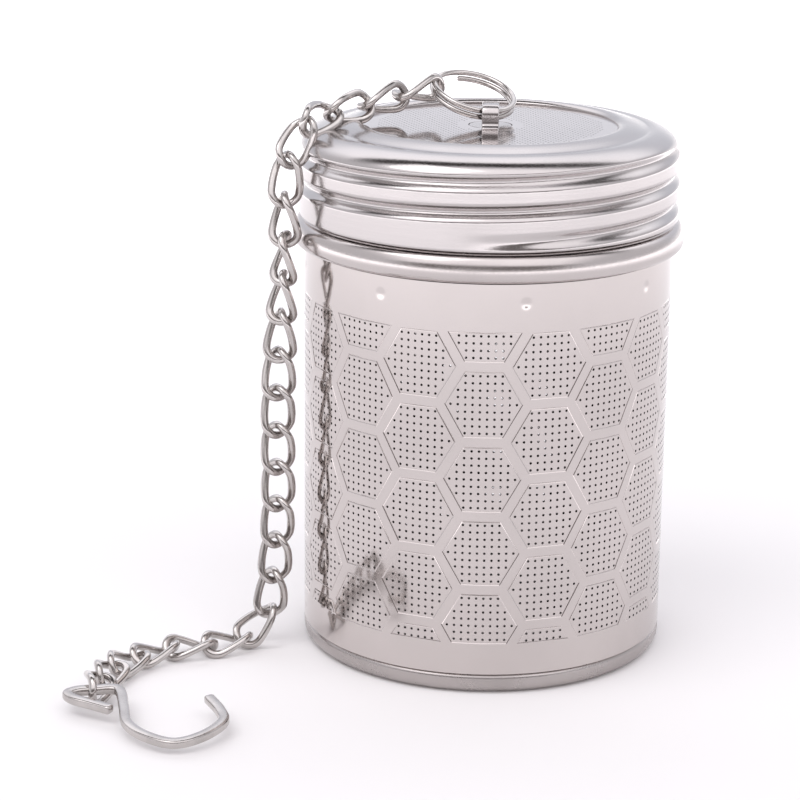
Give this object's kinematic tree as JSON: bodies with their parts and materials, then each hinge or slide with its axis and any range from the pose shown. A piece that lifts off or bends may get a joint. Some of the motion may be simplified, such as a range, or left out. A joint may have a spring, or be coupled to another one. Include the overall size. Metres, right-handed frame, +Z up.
{
  "type": "tea infuser",
  "caption": "Cylindrical perforated tea strainer with a screw-on lid, a split ring, a curb chain and a hook that hangs it in a cup.",
  "frame": {"origin": "middle of the flat underside of the base", "axes": "+Z up along the can's axis, -Y to the front, the chain hangs on the -X side"},
  "size_m": [0.0665, 0.0612, 0.0647],
  "materials": {
    "perforated_steel": "polished stainless sheet with fine punched holes in hexagon panels",
    "satin_steel": "satin stainless sheet",
    "polished_steel": "polished stainless sheet with faint spun lines",
    "mirror_steel": "mirror stainless sheet with very fine punched holes",
    "wire_steel": "bright drawn stainless wire"
  },
  "bodies": {
    "can": {"body_tube": "perforated_steel", "base_cup": "satin_steel", "collar": "satin_steel"},
    "bail": {"bail": "polished_steel"},
    "lid": {"lid_shell": "polished_steel", "lid_screen": "mirror_steel"},
    "ring": {"split_ring": "wire_steel"},
    "link_01": {"chain_link_01": "wire_steel"},
    "link_02": {"chain_link_02": "wire_steel"},
    "link_03": {"chain_link_03": "wire_steel"},
    "link_04": {"chain_link_04": "wire_steel"},
    "link_05": {"chain_link_05": "wire_steel"},
    "link_06": {"chain_link_06": "wire_steel"},
    "link_07": {"chain_link_07": "wire_steel"},
    "link_08": {"chain_link_08": "wire_steel"},
    "link_09": {"chain_link_09": "wire_steel"},
    "link_10": {"chain_link_10": "wire_steel"},
    "link_11": {"chain_link_11": "wire_steel"},
    "link_12": {"chain_link_12": "wire_steel"},
    "link_13": {"chain_link_13": "wire_steel"},
    "link_14": {"chain_link_14": "wire_steel"},
    "link_15": {"chain_link_15": "wire_steel"},
    "link_16": {"chain_link_16": "wire_steel"},
    "link_17": {"chain_link_17": "wire_steel"},
    "link_18": {"chain_link_18": "wire_steel"},
    "link_19": {"chain_link_19": "wire_steel"},
    "link_20": {"chain_link_20": "wire_steel"},
    "link_21": {"chain_link_21": "wire_steel"},
    "link_22": {"chain_link_22": "wire_steel"},
    "link_23": {"chain_link_23": "wire_steel"},
    "link_24": {"chain_link_24": "wire_steel"},
    "hook": {"hook": "wire_steel"}
  },
  "joints": [
    {"name": "lid_lift", "type": "slide", "parent": "can", "child": "bail", "axis": [0, 0, 1], "range_m": [0, 0.00693]},
    {"name": "lid_turn", "type": "hinge", "parent": "bail", "child": "lid", "pos_m": [0, 0, 0.0595], "axis": [0, 0, 1], "range_deg": [0, 780]},
    {"name": "ring_swing", "type": "hinge", "parent": "bail", "child": "ring", "pos_m": [-0.0007, -0.0004, 0.0606], "axis": [0, 0, 1], "range_deg": [-12, 5]},
    {"name": "link_01_swing", "type": "hinge", "parent": "ring", "child": "link_01", "pos_m": [-0.00615, 0.00374, 0.06303], "axis": [0, 1, 0], "range_deg": [0, 5]},
    {"name": "link_02_swing", "type": "hinge", "parent": "link_01", "child": "link_02", "pos_m": [-0.01004, 0.00179, 0.06237], "axis": [0, 1, 0], "range_deg": [0, 5]},
    {"name": "link_03_swing", "type": "hinge", "parent": "link_02", "child": "link_03", "pos_m": [-0.01379, -0.00035, 0.06153], "axis": [0, 1, 0], "range_deg": [0, 5]},
    {"name": "link_04_swing", "type": "hinge", "parent": "link_03", "child": "link_04", "pos_m": [-0.01743, -0.0028, 0.06115], "axis": [0, 1, 0], "range_deg": [0, 5]},
    {"name": "link_05_swing", "type": "hinge", "parent": "link_04", "child": "link_05", "pos_m": [-0.01999, -0.0063, 0.06034], "axis": [0, 1, 0], "range_deg": [0, 8]},
    {"name": "link_06_swing", "type": "hinge", "parent": "link_05", "child": "link_06", "pos_m": [-0.02185, -0.00782, 0.05665], "axis": [0, 1, 0], "range_deg": [0, 8]},
    {"name": "link_07_swing", "type": "hinge", "parent": "link_06", "child": "link_07", "pos_m": [-0.02224, -0.00815, 0.05228], "axis": [0, 1, 0], "range_deg": [0, 8]},
    {"name": "link_08_swing", "type": "hinge", "parent": "link_07", "child": "link_08", "pos_m": [-0.02219, -0.0082, 0.04787], "axis": [0, 1, 0], "range_deg": [0, 8]},
    {"name": "link_09_swing", "type": "hinge", "parent": "link_08", "child": "link_09", "pos_m": [-0.0224, -0.00816, 0.04347], "axis": [0, 1, 0], "range_deg": [0, 8]},
    {"name": "link_10_swing", "type": "hinge", "parent": "link_09", "child": "link_10", "pos_m": [-0.02264, -0.00804, 0.03907], "axis": [0, 1, 0], "range_deg": [0, 8]},
    {"name": "link_11_swing", "type": "hinge", "parent": "link_10", "child": "link_11", "pos_m": [-0.02284, -0.00791, 0.03468], "axis": [0, 1, 0], "range_deg": [0, 8]},
    {"name": "link_12_swing", "type": "hinge", "parent": "link_11", "child": "link_12", "pos_m": [-0.023, -0.00777, 0.03028], "axis": [0, 1, 0], "range_deg": [0, 8]},
    {"name": "link_13_swing", "type": "hinge", "parent": "link_12", "child": "link_13", "pos_m": [-0.02307, -0.00761, 0.02587], "axis": [0, 1, 0], "range_deg": [0, 8]},
    {"name": "link_14_swing", "type": "hinge", "parent": "link_13", "child": "link_14", "pos_m": [-0.02305, -0.00743, 0.02147], "axis": [0, 1, 0], "range_deg": [0, 8]},
    {"name": "link_15_swing", "type": "hinge", "parent": "link_14", "child": "link_15", "pos_m": [-0.02307, -0.00724, 0.01707], "axis": [0, 1, 0], "range_deg": [0, 8]},
    {"name": "link_16_swing", "type": "hinge", "parent": "link_15", "child": "link_16", "pos_m": [-0.02327, -0.00705, 0.01268], "axis": [0, 1, 0], "range_deg": [0, 8]},
    {"name": "link_17_swing", "type": "hinge", "parent": "link_16", "child": "link_17", "pos_m": [-0.02362, -0.00685, 0.00829], "axis": [0, 1, 0], "range_deg": [0, 8]},
    {"name": "link_18_swing", "type": "hinge", "parent": "link_17", "child": "link_18", "pos_m": [-0.02422, -0.00646, 0.00395], "axis": [0, 0, 1], "range_deg": [-8, 8]},
    {"name": "link_19_swing", "type": "hinge", "parent": "link_18", "child": "link_19", "pos_m": [-0.02689, -0.00874, 0.00129], "axis": [0, 0, 1], "range_deg": [-8, 8]},
    {"name": "link_20_swing", "type": "hinge", "parent": "link_19", "child": "link_20", "pos_m": [-0.03061, -0.0111, 0.00123], "axis": [0, 0, 1], "range_deg": [-8, 8]},
    {"name": "link_21_swing", "type": "hinge", "parent": "link_20", "child": "link_21", "pos_m": [-0.03487, -0.01219, 0.00122], "axis": [0, 0, 1], "range_deg": [-8, 8]},
    {"name": "link_22_swing", "type": "hinge", "parent": "link_21", "child": "link_22", "pos_m": [-0.03812, -0.01517, 0.00128], "axis": [0, 0, 1], "range_deg": [-8, 8]},
    {"name": "link_23_swing", "type": "hinge", "parent": "link_22", "child": "link_23", "pos_m": [-0.04015, -0.01905, 0.00162], "axis": [0, 0, 1], "range_deg": [-8, 8]},
    {"name": "link_24_swing", "type": "hinge", "parent": "link_23", "child": "link_24", "pos_m": [-0.04102, -0.02336, 0.00195], "axis": [0, 0, 1], "range_deg": [-8, 8]},
    {"name": "hook_swing", "type": "hinge", "parent": "link_24", "child": "hook", "pos_m": [-0.04123, -0.02775, 0.00204], "axis": [0, 0, 1], "range_deg": [-10, 10]}
  ],
  "couplings": [
    {"joint": "lid_lift", "follows": "lid_turn", "m_per_rad": 0.00050134}
  ]
}
